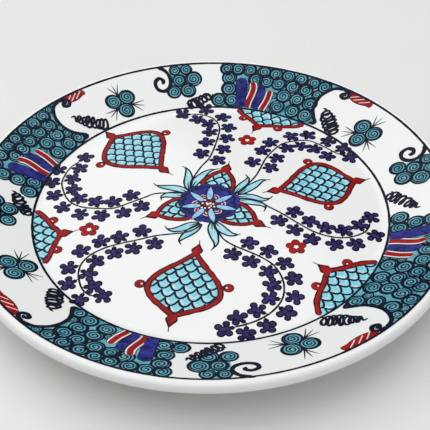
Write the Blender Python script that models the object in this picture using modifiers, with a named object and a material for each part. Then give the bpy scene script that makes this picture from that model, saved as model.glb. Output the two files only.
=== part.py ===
"""Hand painted ceramic plate: a turned body on a foot ring, glaze coats on its face and back, and the
painted motifs as thin raised enamel skins on the face. The plate stands on z = 0 with its axis on Z.
Outlines are worked out in millimetres and degrees, and every mesh is made in metres."""

import math

import bmesh
import bpy

COLLECTION = "hand_painted_plate"
MM = 0.001

# Driving dimensions.
PLATE_RADIUS = 150.0
FLOOR_HEIGHT = 14.0
FLOOR_THICKNESS = 6.5
RIM_SLOPE = 21.5
RIM_CORNER_RADIUS = 107.0
CORNER_ROUNDING = 20.0
LIP_ROUNDING = 2.6
FOOT_OUTER_RADIUS = 88.0
FOOT_INNER_RADIUS = 81.0
FOOT_TAPER = 1.2
FOOT_BARE_EDGE = 2.0
GAP = 0.3
COAT = 0.7
PAINT = 0.3
WELL_LINE_RADIUS = 109.0
OUTER_LINE_RADIUS = 144.4
LINE_WIDTH = 1.2
TURNED_STEPS = 48

# Sizes that follow from them.
PAINT_OFFSET = GAP + COAT + GAP
BELLY_HEIGHT = FLOOR_HEIGHT - FLOOR_THICKNESS
LIP_RADIUS = PLATE_RADIUS - GAP - COAT - LIP_ROUNDING
LAYER_INNER_RADIUS = 70.0
WELL_EDGE = WELL_LINE_RADIUS - LINE_WIDTH / 2 - 2 * GAP
RIM_START = WELL_LINE_RADIUS + LINE_WIDTH / 2 + GAP
RIM_END = OUTER_LINE_RADIUS - LINE_WIDTH / 2 - 2 * GAP

# Three large medallions, each from its inner tip (x, y) along a direction. A flank runs tip to tip.
MEDALLIONS = ((43.0, 15.5, 11.0), (-29.4, 37.9, 133.3), (-8.7, -41.0, 255.4))
MEDALLION_LENGTH = 49.5
MEDALLION_FLANK = ((4, 4.2), (9.5, 9.2), (15, 14.9), (21, 19.7), (28, 22.9), (34.5, 21.9), (40.5, 17),
                   (45, 10.3), (48, 4.6))
SHOULDER = (28, 22.9)
FRAME_WIDTH = 2.4
# Spear knobs on the tips and round curls on the shoulders.
KNOB = ((8.6, 0.0), (6.0, 1.3), (3.6, 3.0), (1.0, 1.7))
CURL_RADIUS = 2.8
# Three half medallions that grow inwards from the well line, and three that stand behind the rosette.
EDGE_MEDALLIONS = ((33.3, 86.7, 60.0), (-90.4, -21.2, 192.0), (66.8, -56.4, 313.5))
EDGE_FLANK = ((1.4, 5.5), (3.0, 9.8), (4.8, 14.0), (7.2, 19.0), (10.6, 23.4), (15.4, 26.8))
EDGE_SHOULDER = (4.8, 14.0)
CENTRE_MEDALLIONS = (72.7, 197.7, 325.3)
CENTRE_MEDALLION_TIP = 34.0
CENTRE_FLANK = ((3.5, 5.4), (8.0, 8.6), (12.5, 9.6))
# The rosette, six leaf pairs (a base and two tips each), six blossom sprigs and three red flowers.
ROSETTE_CENTRE = (-1.2, 1.6)
ROSETTE_RADIUS = 17.5
ROSETTE_LOBES = 12
LEAF_PAIRS = (
    ((-13.0, 17.0), (-1.0, 39.0), (-17.6, 39.6)),
    ((15.2, 14.4), (37.6, 26.0), (23.4, 31.5)),
    ((17.8, 6.6), (32.0, -4.4), (37.6, 10.4)),
    ((0.6, -17.4), (0.3, -37.0), (16.4, -25.4)),
    ((-8.4, -15.8), (-27.0, -18.6), (-17.5, -32.6)),
    ((-17.4, 12.0), (-36.0, 22.6), (-30.6, 6.4)),
)
LEAF_WIDTH = 4.2
SPRIGS = (
    ((-7.4, 36.6), (-0.7, 49.3), (4.7, 70.0), (6.2, 84.0), (0.0, 95.5)),
    ((30.6, 33.6), (37.0, 49.5), (50.4, 66.0), (62.0, 67.5), (72.0, 60.8)),
    ((38.8, -3.2), (52.0, -15.0), (66.0, -25.6), (81.0, -28.0), (92.0, -21.0)),
    ((10.4, -32.0), (28.0, -44.0), (40.8, -66.0), (37.2, -81.2), (21.0, -93.0)),
    ((-29.0, -25.2), (-44.0, -28.8), (-61.6, -34.4), (-73.4, -47.0), (-73.6, -58.0), (-68.0, -67.0)),
    ((-37.6, 12.4), (-50.0, 5.3), (-68.0, 0.8), (-85.0, 6.0), (-92.2, 19.0), (-91.0, 33.0)),
)
STEM_WIDTH = 1.0
FLORET_RADIUS = 4.0
FLORET_LEAN = 2.2
FLORET_REACH = 6.8
FLORET_SPACING = 13.0
FIRST_RIGHT = 14.0
FIRST_LEFT = 11.0
FLOWERS = ((25.0, 69.2), (-73.3, -18.3), (50.0, -36.3))
FLOWER_RADIUS = 4.8
# The rim repeats four times. Directions of its bars, the spur at the panel's end, the scribble's two ends,
# the trefoil and the cloud with its hook.
RIM_ROUNDS = (
    (75.0, 50.6, (41.7, 48.6), 33.2, 10.6),
    (341.1, 310.5, (301.6, 307.6), 291.2, 270.6),
    (250.1, 228.0, (218.6, 225.4), 206.6, 183.4),
    (160.4, 138.1, (129.4, 136.0), 119.8, 98.4),
)
# Points of the rim's outlines as (radius, degrees), measured from the bars or from the spur.
FAN = ((118, -6.0), (125, -6.2), (128, -4.9), (129, -3.6), (131, -2.0), (130.5, -0.2), (132.5, 1.3),
       (132, 2.4), (135, 3.4), (134.5, 4.8), (129, 5.6), (119, 5.5))
FAN_BASE = (-5.3, 5.0)
PANEL_CUSPS = ((136.5, 10.8), (128.5, 10.6), (118.5, 10.4))
PANEL_FOOT = 14.4
PANEL_TOP = 11.2
SPUR = ((113.0, 3.2), (114.5, 0.0), (119, 2.2), (125, 3.0), (131, 2.9), (136, 1.8), (140.5, 0.0))
SPUR_FOOT = 6.0
SPUR_TOP = -2.2
FINIAL = ((139.2, -4.4), (138.6, -5.8), (139.2, -7.2), (139.0, -8.6), (140.4, -10.0), (142.6, -10.6))
FINIAL_TOP = (-10.2, -4.2)
# The cloud and hook as (out from the axis, anticlockwise) lengths.
CLOUD = ((118.6, -5.6), (118.6, -0.6), (121.0, 1.8), (118.4, 5.0), (119.4, 10.4), (123.8, 11.6),
         (126.0, 13.4), (125.4, 19.0), (129.6, 23.2), (135.4, 22.8), (138.6, 19.4), (140.2, 20.6),
         (143.0, 24.4))
CLOUD_BACK = ((143.0, -10.6), (138.0, -11.6), (134.6, -10.4), (129.4, -12.0), (126.0, -9.0), (122.6, -8.8))
TREFOIL_RADIUS = 123.4
TREFOIL_REACH = 4.9
TREFOIL_BULGE = 2.25
SCRIBBLE_RADII = (112.2, 124.5)
SCRIBBLE_WIDTH = 4.2
SCRIBBLE_TEETH = 6
TOOTH = 1.3


# ---- points and lines


def polar(radius, degrees):
    """The point at a radius and a direction, anticlockwise from +X."""
    angle = math.radians(degrees)
    return (radius * math.cos(angle), radius * math.sin(angle))


def place(points, x, y, degrees):
    """Points turned by the angle and moved by (x, y)."""
    c, s = math.cos(math.radians(degrees)), math.sin(math.radians(degrees))
    return [(x + c * u - s * v, y + s * u + c * v) for u, v in points]


def arc(start, end, bulge, pieces):
    """Points from start up to end, without end, on an arc that bulges to the right of the way walked."""
    (x0, y0), (x1, y1) = start, end
    sweep = 4 * math.atan(bulge)
    rise = 0.5 / math.tan(sweep / 2)
    cx = (x0 + x1) / 2 - (y1 - y0) * rise
    cy = (y0 + y1) / 2 + (x1 - x0) * rise
    return [place([(x0 - cx, y0 - cy)], cx, cy, math.degrees(sweep * i / pieces))[0] for i in range(pieces)]


def rim_arc(radius, start, end, step=5.0):
    """Points on a circle about the plate's axis, from one direction to another."""
    count = max(1, math.ceil(abs(end - start) / step))
    return [polar(radius, start + (end - start) * i / count) for i in range(count + 1)]


def smooth(points, pieces):
    """A curve through the points, each span cut into pieces."""
    ends = [points[0], *points, points[-1]]
    curve = []
    for a, b, c, d in zip(ends, ends[1:], ends[2:], ends[3:]):
        for i in range(pieces):
            t = i / pieces
            weights = (
                -t + 2 * t ** 2 - t ** 3,
                2 - 5 * t ** 2 + 3 * t ** 3,
                t + 4 * t ** 2 - 3 * t ** 3,
                t ** 3 - t ** 2,
            )
            curve.append(tuple(sum(w * u for w, u in zip(weights, axis)) / 2 for axis in zip(a, b, c, d)))
    return [*curve, points[-1]]


def normal(start, end):
    """The unit step to the left of the way from start to end."""
    u, v = end[0] - start[0], end[1] - start[1]
    return (-v / math.hypot(u, v), u / math.hypot(u, v))


def offset(points, distance):
    """The line moved by distance to the left of the way it is walked, with mitred corners."""
    normals = [normal(a, b) for a, b in zip(points, points[1:])]
    moved = []
    for (x, y), before, after in zip(points, normals[:1] + normals, normals + normals[-1:]):
        nx, ny = before[0] + after[0], before[1] + after[1]
        scale = distance * 2 / (nx * nx + ny * ny)
        moved.append((x + nx * scale, y + ny * scale))
    return moved


def mirrored(half):
    """A closed outline, walked anticlockwise, from its half above an axis that runs tip to tip."""
    return [(u, -v) for u, v in half] + [(u, v) for u, v in half[-2:0:-1]]


# ---- the plate's section, as (radius, height) lines walked from the face over the lip to the back


def rounded_corner(radius, height, turns):
    """The curve that rises from a flat that ends here, at each of these turns from the flat."""
    return [
        (radius + CORNER_ROUNDING * math.sin(turn), height + CORNER_ROUNDING * (1 - math.cos(turn)))
        for turn in turns
    ]


def face_line():
    """The body's face, from the centre through the rounded corner to the foot of the sloping rim."""
    slope = math.radians(RIM_SLOPE)
    start = RIM_CORNER_RADIUS - CORNER_ROUNDING * math.tan(slope / 2)
    corner = rounded_corner(start, FLOOR_HEIGHT, [slope * i / 4 for i in range(5)])
    return [(0.0, FLOOR_HEIGHT), (LAYER_INNER_RADIUS, FLOOR_HEIGHT), *corner]


def lip_line():
    """The body's lip: half a round, from the end of the face's slope to the start of the back's."""
    slope = math.radians(RIM_SLOPE)
    top = FLOOR_HEIGHT + (LIP_RADIUS - RIM_CORNER_RADIUS) * math.tan(slope)
    height = top - LIP_ROUNDING / math.cos(slope)
    turns = [math.pi / 2 + slope - math.pi * i / 6 for i in range(7)]
    return [(LIP_RADIUS + LIP_ROUNDING * math.cos(t), height + LIP_ROUNDING * math.sin(t)) for t in turns]


def back_line():
    """The body's back: the rounded corner between the slope under the rim and the flat belly."""
    slope = math.radians(RIM_SLOPE)
    end_radius, end_height = lip_line()[-1]
    corner = end_radius - (end_height - BELLY_HEIGHT) / math.tan(slope)
    start = corner - CORNER_ROUNDING * math.tan(slope / 2)
    return rounded_corner(start, BELLY_HEIGHT, [slope * (1 - i / 3) for i in range(4)])


def body_outline():
    """The fired clay body, from the centre of the face round to the centre of the belly."""
    return face_line() + lip_line() + back_line() + [(0.0, BELLY_HEIGHT)]


def foot_outline():
    """The foot ring: tapered walls and a flat bearing face on z = 0."""
    top = BELLY_HEIGHT - GAP
    return [
        (FOOT_INNER_RADIUS, top),
        (FOOT_OUTER_RADIUS, top),
        (FOOT_OUTER_RADIUS - FOOT_TAPER, 0.0),
        (FOOT_INNER_RADIUS + FOOT_TAPER, 0.0),
    ]


def foot_wall(side):
    """The foot ring's outer (side 1) or inner (side -1) wall, from the belly to the bare edge."""
    top = BELLY_HEIGHT - GAP
    radius = FOOT_OUTER_RADIUS if side > 0 else FOOT_INNER_RADIUS
    taper = side * FOOT_TAPER * (1 - FOOT_BARE_EDGE / top)
    return [(radius, BELLY_HEIGHT), (radius - taper, FOOT_BARE_EDGE)]


def coat_outline(line):
    """The closed section of a glaze coat that lies a gap above the line."""
    return offset(line, GAP + COAT) + offset(line, GAP)[::-1]


def face_coat_outline():
    """The white coat on the face, over the lip and down to its outermost point."""
    return coat_outline(face_line() + lip_line()[:5])


def back_coat_outline():
    """The coat under the lip, down the back and down the outside of the foot ring."""
    under_lip = lip_line()[4:]
    start = ((under_lip[0][0] + under_lip[1][0]) / 2, (under_lip[0][1] + under_lip[1][1]) / 2)
    return coat_outline([start, *under_lip[1:], *back_line(), *foot_wall(1)])


def foot_well_coat_outline():
    """The coat inside the foot ring, from the centre over the belly, down the wall and back."""
    line = [*foot_wall(-1)[::-1], (0.0, BELLY_HEIGHT)]
    return offset(line, GAP)[::-1] + offset(line, GAP + COAT)


def height_at(radius, line):
    """The height of a line that is walked outwards, at this radius."""
    (r0, z0), (r1, z1) = next(span for span in zip(line, line[1:]) if span[0][0] <= radius <= span[1][0])
    return z0 + (z1 - z0) * (radius - r0) / (r1 - r0)


def ring_line_outline(radius):
    """The section of a painted line round the plate at this radius."""
    face = face_line() + lip_line()[:2]
    low, high = offset(face, PAINT_OFFSET), offset(face, PAINT_OFFSET + PAINT)
    edges = (radius - LINE_WIDTH / 2, radius + LINE_WIDTH / 2)
    return [(r, height_at(r, high)) for r in edges] + [(r, height_at(r, low)) for r in edges[::-1]]


# ---- objects


def new_collection(name):
    collection = bpy.data.collections.new(name)
    bpy.context.scene.collection.children.link(collection)
    return collection


def material(name, colour, roughness):
    """A plain finish for one kind of clay, glaze or pigment."""
    finish = bpy.data.materials.new(name)
    finish.use_nodes = True
    shader = finish.node_tree.nodes["Principled BSDF"]
    shader.inputs["Base Color"].default_value = (*colour, 1.0)
    shader.inputs["Roughness"].default_value = roughness
    shader.inputs["Metallic"].default_value = 0.0
    return finish


def turned(name, outline, finish, collection, closed=True):
    """A solid turned about Z from its section. An open section starts and ends on the axis."""
    points = [(r * MM, 0.0, z * MM) for r, z in outline]
    edges = [(i, i + 1) for i in range(len(points) - 1)]
    mesh = bpy.data.meshes.new(name)
    mesh.from_pydata(points, edges + ([(len(points) - 1, 0)] if closed else []), [])
    mesh.materials.append(finish)
    solid = bpy.data.objects.new(name, mesh)
    collection.objects.link(solid)
    screw = solid.modifiers.new("Turn", "SCREW")
    screw.axis = "Z"
    screw.steps = screw.render_steps = TURNED_STEPS
    screw.use_merge_vertices = True
    screw.merge_threshold = 0.00001
    screw.use_smooth_shade = True
    return solid


def flat_motif(name, outlines, finish, collection, base=FLOOR_HEIGHT + PAINT_OFFSET, thickness=PAINT):
    """A flat skin or prism: outlines filled as one 2D curve, where an outline inside another is a hole."""
    curve = bpy.data.curves.new(name, "CURVE")
    curve.dimensions = "2D"
    curve.fill_mode = "BOTH"
    curve.extrude = thickness / 2 * MM
    for outline in outlines:
        spline = curve.splines.new("POLY")
        spline.points.add(len(outline) - 1)
        for point, (x, y) in zip(spline.points, outline):
            point.co = (x * MM, y * MM, 0.0, 1.0)
        spline.use_cyclic_u = True
    curve.materials.append(finish)
    skin = bpy.data.objects.new(name, curve)
    skin.location.z = (base + thickness / 2) * MM
    collection.objects.link(skin)
    return skin


def prism(name, outline, finish, cutters):
    """A tall upright mesh prism of the outline, for cutting the paint layer."""
    curve = flat_motif(name, [outline], finish, cutters, base=0.0, thickness=45.0)
    bpy.context.view_layer.update()
    seen = curve.evaluated_get(bpy.context.evaluated_depsgraph_get())
    mesh = bpy.data.meshes.new_from_object(seen)
    shape = bmesh.new()
    shape.from_mesh(mesh)
    bmesh.ops.remove_doubles(shape, verts=shape.verts, dist=0.00001)
    bmesh.ops.recalc_face_normals(shape, faces=shape.faces)
    if shape.calc_volume(signed=True) < 0:
        bmesh.ops.reverse_faces(shape, faces=shape.faces)
    shape.to_mesh(mesh)
    shape.free()
    cutter = bpy.data.objects.new(name + "_cutter", mesh)
    cutter.matrix_world = curve.matrix_world
    cutter.hide_render = True
    cutter.display_type = "WIRE"
    cutters.objects.link(cutter)
    bpy.data.objects.remove(curve)
    return cutter


def rim_motif(name, outline, finish, collection, cutters):
    """A skin on the sloping rim: the turned paint layer, kept only inside a prism of the outline."""
    line = face_line()[1:] + lip_line()[:1]
    layer = offset(line, PAINT_OFFSET + PAINT) + offset(line, PAINT_OFFSET)[::-1]
    skin = turned(name, layer, finish, collection)
    cut = skin.modifiers.new("Outline", "BOOLEAN")
    cut.operation = "INTERSECT"
    cut.solver = "EXACT"
    cut.object = prism(name + "_prism", outline, finish, cutters)
    return skin


# ---- outlines of the motifs


def with_curl(flank, shoulder):
    """The upper flank with a round curl, which stands square to it, in place of its shoulder point."""
    at = flank.index(shoulder)
    (u0, v0), (u1, v1) = flank[at - 1], flank[at + 1]
    way = math.degrees(math.atan2(v1 - v0, u1 - u0))
    round_points = [polar(CURL_RADIUS, turn) for turn in (235, 180, 130, 90, 50, 0, -55)]
    raised = [(u, v + CURL_RADIUS) for u, v in round_points]
    return [*flank[:at], *place(raised, *shoulder, way), *flank[at + 1:]]


def knob_half(tip, direction):
    """The upper half of a spear knob on a tip, from its point to its neck."""
    return [(tip + direction * u, v) for u, v in KNOB]


def medallion_inside(margin):
    """The closed line a margin inside the medallion's flanks."""
    flank = offset([(0.0, 0.0), *MEDALLION_FLANK, (MEDALLION_LENGTH, 0.0)], -margin)
    half = [(margin * 1.6, 0.0), *flank[1:-1], (MEDALLION_LENGTH - margin * 1.4, 0.0)]
    return mirrored(half)


def medallion_outside():
    """The medallion's flanks with their curls and the spear knobs on both tips."""
    flank = with_curl(list(MEDALLION_FLANK), SHOULDER)
    return mirrored(knob_half(0.0, -1) + flank + knob_half(MEDALLION_LENGTH, 1)[::-1])


def cut_at_well(line):
    """The part of a line that lies inside the well, and the direction in which the line leaves it."""
    inside = [point for point in line[:-1] if math.hypot(*point) < WELL_EDGE - 1.0]
    x, y = line[len(inside)]
    return inside, math.degrees(math.atan2(y, x))


def edge_medallion(x, y, direction):
    """A half medallion from its knob out to the well line, which closes it."""
    half = knob_half(0.0, -1) + with_curl(list(EDGE_FLANK), EDGE_SHOULDER)
    lower, start = cut_at_well(place([(u, -v) for u, v in half], x, y, direction))
    upper, end = cut_at_well(place(half, x, y, direction))
    return lower + rim_arc(WELL_EDGE, start, end + (360.0 if end < start else 0.0)) + upper[:0:-1]


def centre_medallion(direction):
    """A half medallion from the rosette's edge out to its spear knob."""
    half = knob_half(CENTRE_MEDALLION_TIP, 1) + [(CENTRE_MEDALLION_TIP - u, v) for u, v in CENTRE_FLANK]
    reach = ROSETTE_RADIUS + 2 * GAP
    spread = math.degrees(math.atan2(half[-1][1], half[-1][0]))
    back = [polar(reach, turn) for turn in (spread, 0.0, -spread)]
    outline = [(u, -v) for u, v in half[::-1]] + half[1:] + back
    return place(outline, *ROSETTE_CENTRE, direction)


def lobed(x, y, radius, lobes, depth, pieces):
    """A flower outline: round lobes about a centre, with narrow notches between them."""
    count = lobes * pieces
    turns = [360.0 * i / count for i in range(count)]
    reach = [radius * (1 - depth * abs(math.cos(math.radians(turn * lobes / 2))) ** 3) for turn in turns]
    return place([polar(r, turn) for r, turn in zip(reach, turns)], x, y, 0.0)


def leaf(base, tip, bend):
    """The two sides of a slender leaf whose middle bends to the left by this part of its length."""
    length = math.dist(base, tip)
    direction = math.degrees(math.atan2(tip[1] - base[1], tip[0] - base[0]))
    along = [i / 6 for i in range(1, 6)]
    middle = [(length * t, 4 * bend * length * t * (1 - t)) for t in along]
    half_width = [LEAF_WIDTH / 2 * math.sin(math.pi * t ** 0.8) for t in along]
    right = [(u, v - w) for (u, v), w in zip(middle, half_width)]
    left = [(u, v + w) for (u, v), w in zip(middle, half_width)]
    return place([*right, (length, 0.0), *left[::-1]], *base, direction)


def leaf_pair(base, right_tip, left_tip):
    """Two leaves that share a base and lean apart."""
    foot = [(-0.8, 0.0)]
    middle = ((right_tip[0] + left_tip[0]) / 2, (right_tip[1] + left_tip[1]) / 2)
    direction = math.degrees(math.atan2(middle[1] - base[1], middle[0] - base[0]))
    crotch = place([(5.0, 0.0)], *base, direction)
    right, left = leaf(base, right_tip, -0.05), leaf(base, left_tip, 0.05)
    return place(foot, *base, direction) + right[:-1] + crotch + left[1:]


def floret(x, y, neck):
    """A five lobed blossom, open at its neck, walked anticlockwise from one side of it to the other."""
    turns = [neck + 22 + 316 * i / 9 for i in range(10)]
    reach = [FLORET_RADIUS * (0.72 if i % 2 else 1.0) for i in range(10)]
    return place([polar(r, turn) for r, turn in zip(reach, turns)], x, y, 0.0)


def stations(path, side, first):
    """Where blossoms stand beside a stem: their places, and the stem's places and directions there."""
    found, due = [], first
    track = offset(path, side * FLORET_REACH)
    for near, far, start, end in zip(track, track[1:], path, path[1:]):
        span = math.dist(near, far)
        direction = math.degrees(math.atan2(end[1] - start[1], end[0] - start[0]))
        while due < span:
            bloom, root = (
                tuple(p + (q - p) * due / span for p, q in zip(*ends))
                for ends in ((near, far), (start, end))
            )
            found.append((bloom, root, direction))
            due += FLORET_SPACING
        due -= span
    return found


def sprig_side(path, side, first):
    """One side of a sprig from base to tip: side is -1 on the right and 1 on the left."""
    points = [offset(path, side * STEM_WIDTH / 2)[0]]
    for (x, y), root, direction in stations(path, side, first):
        stalk = [(-FLORET_LEAN - 0.7, side * STEM_WIDTH / 2), (-FLORET_LEAN + 0.7, side * STEM_WIDTH / 2)]
        below, above = place(stalk, *root, direction)
        bloom = floret(x, y, math.degrees(math.atan2(below[1] - y, below[0] - x)))
        points += [below, *(bloom if side < 0 else bloom[::-1]), above]
    return points


def sprig(route):
    """A curved stem with blossoms on both sides and one on its tip."""
    path = smooth(route, 5)
    (x0, y0), (x1, y1) = path[-2:]
    direction = math.degrees(math.atan2(y1 - y0, x1 - x0))
    (x, y), = place([(FLORET_RADIUS + 1.0, 0.0)], x1, y1, direction)
    right, left = sprig_side(path, -1, FIRST_RIGHT), sprig_side(path, 1, FIRST_LEFT)
    return right + floret(x, y, direction + 180) + left[::-1]


def rim_points(points, direction):
    return [polar(radius, direction + turn) for radius, turn in points]


def bar_fan(bars):
    """Four bars that rise from the well line and fan out, as one outline."""
    low, high = FAN_BASE
    return rim_arc(RIM_START, bars + high, bars + low) + rim_points(FAN, bars)


def panel(bars, spur):
    """The scroll panel: round the bars, out along the bay, back along the outer line, in over scallops."""
    low, high = FAN_BASE
    fan = [polar(RIM_START, bars + low), *rim_points(FAN, bars), polar(RIM_START, bars + high)]
    around = offset(fan, -GAP)[::-1]
    foot = polar(RIM_START, bars + PANEL_FOOT)
    cusps = [polar(RIM_END, bars + PANEL_TOP), *rim_points(PANEL_CUSPS, bars), foot]
    scallops = [point for start, end in zip(cusps, cusps[1:]) for point in arc(start, end, 0.5, 4)]
    return [
        *rim_arc(RIM_START, bars + PANEL_FOOT, bars + high + 0.6)[:-1],
        *around,
        *rim_arc(RIM_START, bars + low - 0.6, spur + SPUR_FOOT)[1:],
        *rim_points(SPUR, spur),
        *rim_arc(RIM_END, spur + SPUR_TOP, bars + PANEL_TOP)[:-1],
        *scallops,
    ]


def finial(spur):
    """The red finial that lies along the outer line beyond the panel's scroll."""
    low, high = FINIAL_TOP
    return rim_points(FINIAL, spur) + rim_arc(RIM_END, spur + low, spur + high)


def cloud(direction):
    """The cloud of scrolls with its hook, hanging from the outer line."""
    ends = [math.degrees(math.atan2(v, u)) + direction for u, v in (CLOUD_BACK[0], CLOUD[-1])]
    side = place(CLOUD, 0.0, 0.0, direction)
    back = place(CLOUD_BACK, 0.0, 0.0, direction)
    return back[:0:-1] + rim_arc(RIM_END, *ends) + side[-2::-1]


def trefoil(direction):
    """Three scrolls that touch, as three arcs between cusps."""
    x, y = polar(TREFOIL_RADIUS, direction)
    cusps = place([polar(TREFOIL_REACH, turn) for turn in (2, 122, 242)], x, y, direction)
    return [point for i in range(3) for point in arc(cusps[i], cusps[(i + 1) % 3], TREFOIL_BULGE, 9)]


def scribble(start, end):
    """A loop scribble as one outline with toothed sides, pointed at its outer end."""
    (x0, y0), (x1, y1) = polar(SCRIBBLE_RADII[0], start), polar(SCRIBBLE_RADII[1], end)
    length = math.dist((x0, y0), (x1, y1))
    upper = [(0.0, 1.2)]
    for i in range(SCRIBBLE_TEETH):
        t = (i + 0.5) / SCRIBBLE_TEETH
        width = SCRIBBLE_WIDTH * math.sin(math.pi * (0.12 + 0.8 * t)) ** 0.5
        upper += [(length * t, width), (length * (t + 0.5 / SCRIBBLE_TEETH), width - TOOTH)]
    half = [(-0.6, 0.0), *upper[:-1], (length, 0.0)]
    return place(mirrored(half), x0, y0, math.degrees(math.atan2(y1 - y0, x1 - x0)))


# ---- the assembly


def add_ware(plate, clay, glaze):
    """The fired body, its foot ring and the three glaze coats."""
    turned("body", body_outline(), clay, plate, closed=False)
    turned("foot_ring", foot_outline(), clay, plate)
    turned("face_glaze", face_coat_outline(), glaze, plate, closed=False)
    turned("back_glaze", back_coat_outline(), glaze, plate)
    turned("foot_well_glaze", foot_well_coat_outline(), glaze, plate, closed=False)


def add_lines(plate, black):
    turned("well_line", ring_line_outline(WELL_LINE_RADIUS), black, plate)
    turned("outer_line", ring_line_outline(OUTER_LINE_RADIUS), black, plate)


def add_medallions(plate, cutters, red, turquoise):
    """The red frames with their turquoise scale fields, whole and half."""
    for number, (x, y, direction) in enumerate(MEDALLIONS, 1):
        field = medallion_inside(FRAME_WIDTH + GAP)
        outlines = medallion_outside(), medallion_inside(FRAME_WIDTH)
        frame = [place(line, x, y, direction) for line in outlines]
        flat_motif(f"medallion_frame_{number}", frame, red, plate)
        flat_motif(f"medallion_scales_{number}", [place(field, x, y, direction)], turquoise, plate)
    for number, (x, y, direction) in enumerate(EDGE_MEDALLIONS, 1):
        rim_motif(f"edge_medallion_{number}", edge_medallion(x, y, direction), red, plate, cutters)
    for number, direction in enumerate(CENTRE_MEDALLIONS, 1):
        flat_motif(f"centre_medallion_{number}", [centre_medallion(direction)], red, plate)


def add_flowers(plate, cobalt, violet, aqua, red):
    """The rosette, its leaves and sprigs, and the small red flowers."""
    flat_motif("rosette", [lobed(*ROSETTE_CENTRE, ROSETTE_RADIUS, ROSETTE_LOBES, 0.1, 4)], cobalt, plate)
    for number, tips in enumerate(LEAF_PAIRS, 1):
        flat_motif(f"leaf_pair_{number}", [leaf_pair(*tips)], aqua, plate)
    for number, route in enumerate(SPRIGS, 1):
        flat_motif(f"blossom_sprig_{number}", [sprig(route)], violet, plate)
    for number, (x, y) in enumerate(FLOWERS, 1):
        flat_motif(f"red_flower_{number}", [lobed(x, y, FLOWER_RADIUS, 6, 0.45, 4)], red, plate)


def add_rim(plate, cutters, teal, cobalt, red, black):
    """Four rounds of panel, bars, finial, scribble, trefoil and cloud."""
    for number, (bars, spur, scribble_ends, trefoil_at, cloud_at) in enumerate(RIM_ROUNDS, 1):
        pieces = (
            ("scroll_panel", panel(bars, spur), teal),
            ("bar_fan", bar_fan(bars), cobalt),
            ("red_finial", finial(spur), red),
            ("scribble", scribble(*scribble_ends), black),
            ("scroll_trefoil", trefoil(trefoil_at), teal),
            ("scroll_cloud", cloud(cloud_at), teal),
        )
        for name, outline, finish in pieces:
            rim_motif(f"{name}_{number}", outline, finish, plate, cutters)


def main():
    for thing in list(bpy.data.objects):
        bpy.data.objects.remove(thing)
    plate, cutters = new_collection(COLLECTION), new_collection("cutters")
    clay = material("fired_clay", (0.80, 0.72, 0.62), 0.75)
    glaze = material("white_glaze", (0.86, 0.87, 0.85), 0.12)
    black = material("black_line", (0.01, 0.015, 0.04), 0.15)
    red = material("tomato_red", (0.42, 0.02, 0.02), 0.2)
    turquoise = material("turquoise", (0.18, 0.60, 0.72), 0.15)
    cobalt = material("cobalt_blue", (0.02, 0.03, 0.26), 0.15)
    violet = material("violet_navy", (0.015, 0.012, 0.09), 0.15)
    aqua = material("aqua_leaf", (0.26, 0.62, 0.70), 0.15)
    teal = material("teal_scroll", (0.06, 0.26, 0.30), 0.15)
    add_ware(plate, clay, glaze)
    add_lines(plate, black)
    add_medallions(plate, cutters, red, turquoise)
    add_flowers(plate, cobalt, violet, aqua, red)
    add_rim(plate, cutters, teal, cobalt, red, black)


main()
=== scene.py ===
"""Looks of the hand painted plate. Smooth glazed ware stands in for the faceted layers of the CAD, and
every motif is drawn again in brush strokes and washes that lie on the glaze. Lengths are in millimetres,
angles in degrees anticlockwise from +X, and a place on the plate is its (x, y) from the plate's axis."""

import math

import bpy
from mathutils import Matrix, Vector, geometry, noise


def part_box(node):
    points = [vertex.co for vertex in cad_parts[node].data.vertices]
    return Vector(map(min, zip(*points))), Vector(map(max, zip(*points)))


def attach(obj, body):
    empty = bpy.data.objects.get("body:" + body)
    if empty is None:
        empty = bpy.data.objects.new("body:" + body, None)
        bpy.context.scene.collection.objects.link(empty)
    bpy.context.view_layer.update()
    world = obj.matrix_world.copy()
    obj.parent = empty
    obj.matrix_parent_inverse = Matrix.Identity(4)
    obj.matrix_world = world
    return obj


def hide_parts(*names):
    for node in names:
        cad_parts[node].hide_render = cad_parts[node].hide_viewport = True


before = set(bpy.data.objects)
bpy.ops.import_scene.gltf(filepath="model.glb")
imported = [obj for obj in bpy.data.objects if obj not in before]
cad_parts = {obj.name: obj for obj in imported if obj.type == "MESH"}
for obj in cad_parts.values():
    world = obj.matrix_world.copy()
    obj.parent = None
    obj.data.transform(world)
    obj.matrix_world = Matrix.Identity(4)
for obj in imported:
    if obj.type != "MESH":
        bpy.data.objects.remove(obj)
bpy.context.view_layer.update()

MM = 0.001

# The plate's section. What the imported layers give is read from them: the gap between two layers and the
# width of the two round lines are the CAD's.
GAP = 0.3
CAD_LINE = 1.2
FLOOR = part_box("rosette")[0].z / MM - GAP
FLOOR_RISE = 2.0
LIP_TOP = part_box("face_glaze")[1].z / MM
FOOT_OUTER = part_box("foot_ring")[1].x / MM
FOOT_WIDTH = 7.0
WELL_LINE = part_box("well_line")[1].x / MM - CAD_LINE / 2
OUTER_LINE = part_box("outer_line")[1].x / MM - CAD_LINE / 2
RIM_SLOPE = math.radians(21.5)
CORNER_START = 103.2
CORNER_ROUND = 19.0
LIP_ROUND = 3.6
LIP_CENTRE = (146.4, LIP_TOP - LIP_ROUND)
BELLY = 6.5
BARE_EDGE = 1.5
TURNED_STEPS = 288

# Heights above the glaze of washes, lines and the rosette, the dome of a line, and how deep paint reaches.
WASH = 0.05
LINE = 0.10
BLOOM = 0.16
RISE = 0.05
KEEL = 0.15

# Brush widths.
RING_LINE = 1.5
OUTLINE = 1.3
HAIR = 1.1
FRAME = 2.5
SCROLL_LINE = 0.9
SCROLL_RING = 1.3
SCROLL_PITCH = 1.8

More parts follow.
